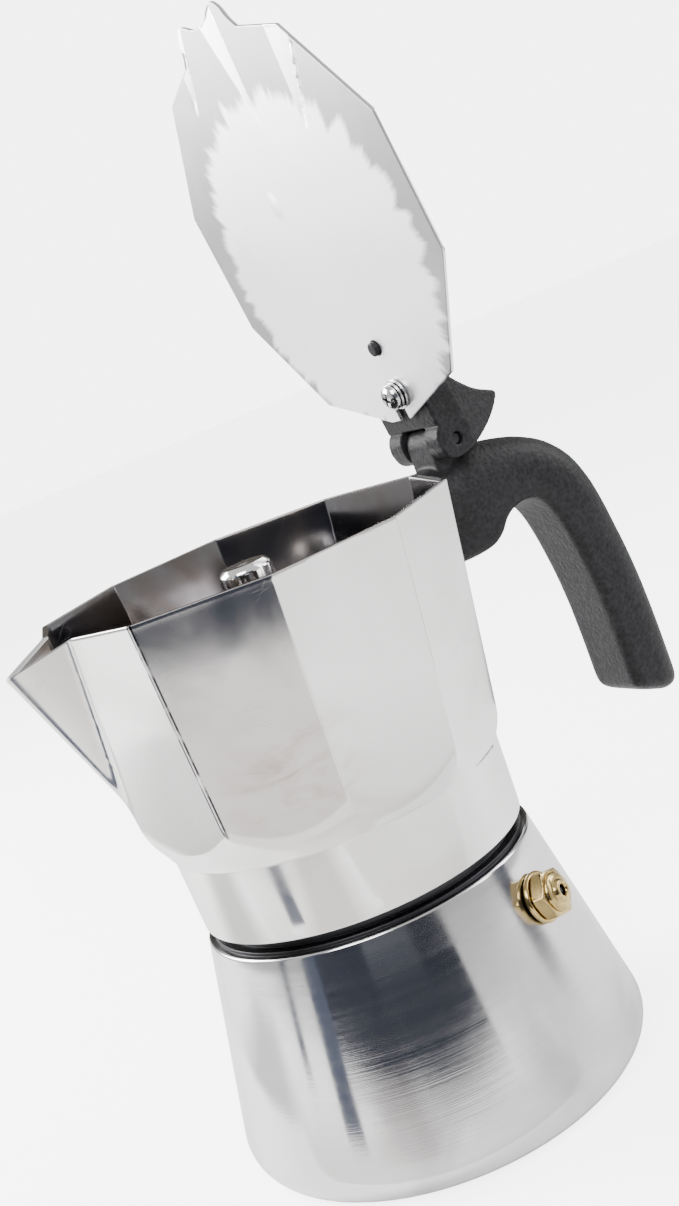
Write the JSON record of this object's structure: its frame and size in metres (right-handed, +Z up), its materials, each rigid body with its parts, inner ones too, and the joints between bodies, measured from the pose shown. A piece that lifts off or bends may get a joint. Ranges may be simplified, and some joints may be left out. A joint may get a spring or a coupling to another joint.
{
  "type": "moka pot",
  "caption": "Stovetop moka pot with a ten-sided upper chamber and spout, a conical boiler with a safety valve, a black handle and a hinged lid that stands open.",
  "frame": {"origin": "centre of the base, where the pot rests", "axes": "+Z up along the pot's axis, +X toward the handle, -X toward the spout, +Y across"},
  "size_m": [0.1701, 0.1062, 0.2683],
  "materials": {
    "polished_aluminium": "polished and satin",
    "spun_aluminium": "satin",
    "brass": "turned",
    "steel": "bright",
    "black_plastic": "fine matt grain",
    "silicone": "matt"
  },
  "bodies": {
    "base": {"boiler": "polished_aluminium", "valve_washer": "brass", "valve_body": "brass", "valve_cap": "brass", "valve_spring": "steel"},
    "relief_pin": {"valve_pin": "steel"},
    "funnel": {"funnel_basket": "spun_aluminium", "funnel_stem": "spun_aluminium", "funnel_strainer": "spun_aluminium"},
    "seal": {"gasket": "silicone"},
    "top": {"filter_plate": "spun_aluminium", "upper_chamber": "polished_aluminium", "column": "polished_aluminium", "column_cap": "polished_aluminium", "handle": "black_plastic", "handle_screw": "steel", "hinge_pin": "steel"},
    "lid": {"lid_plate": "polished_aluminium", "lid_lever": "black_plastic", "lid_washer": "steel", "lid_spring_washer": "steel", "lid_screw": "steel"}
  },
  "joints": [
    {"name": "valve_pin_slide", "type": "slide", "parent": "base", "child": "relief_pin", "axis": [0.4656, -0.8611, 0.2045], "range_m": [0, 0.0012], "stiffness_N_per_m": 400, "springref_m": -0.002, "deforming": ["valve_spring"]},
    {"name": "funnel_lift", "type": "slide", "parent": "base", "child": "funnel", "axis": [0, 0, 1], "range_m": [0, 0.075]},
    {"name": "upper_rise", "type": "slide", "parent": "funnel", "child": "seal", "axis": [0, 0, 1], "range_m": [0, 0.0101]},
    {"name": "upper_turn", "type": "hinge", "parent": "seal", "child": "top", "pos_m": [0, 0, 0], "axis": [0, 0, 1], "range_deg": [0, 900]},
    {"name": "lid_hinge", "type": "hinge", "parent": "top", "child": "lid", "pos_m": [0.0613, 0, 0.1517], "axis": [0, 1, 0], "range_deg": [-82.4, 0]}
  ],
  "couplings": [
    {"joint": "upper_rise", "follows": "upper_turn", "m_per_rad": 0.00063662}
  ]
}
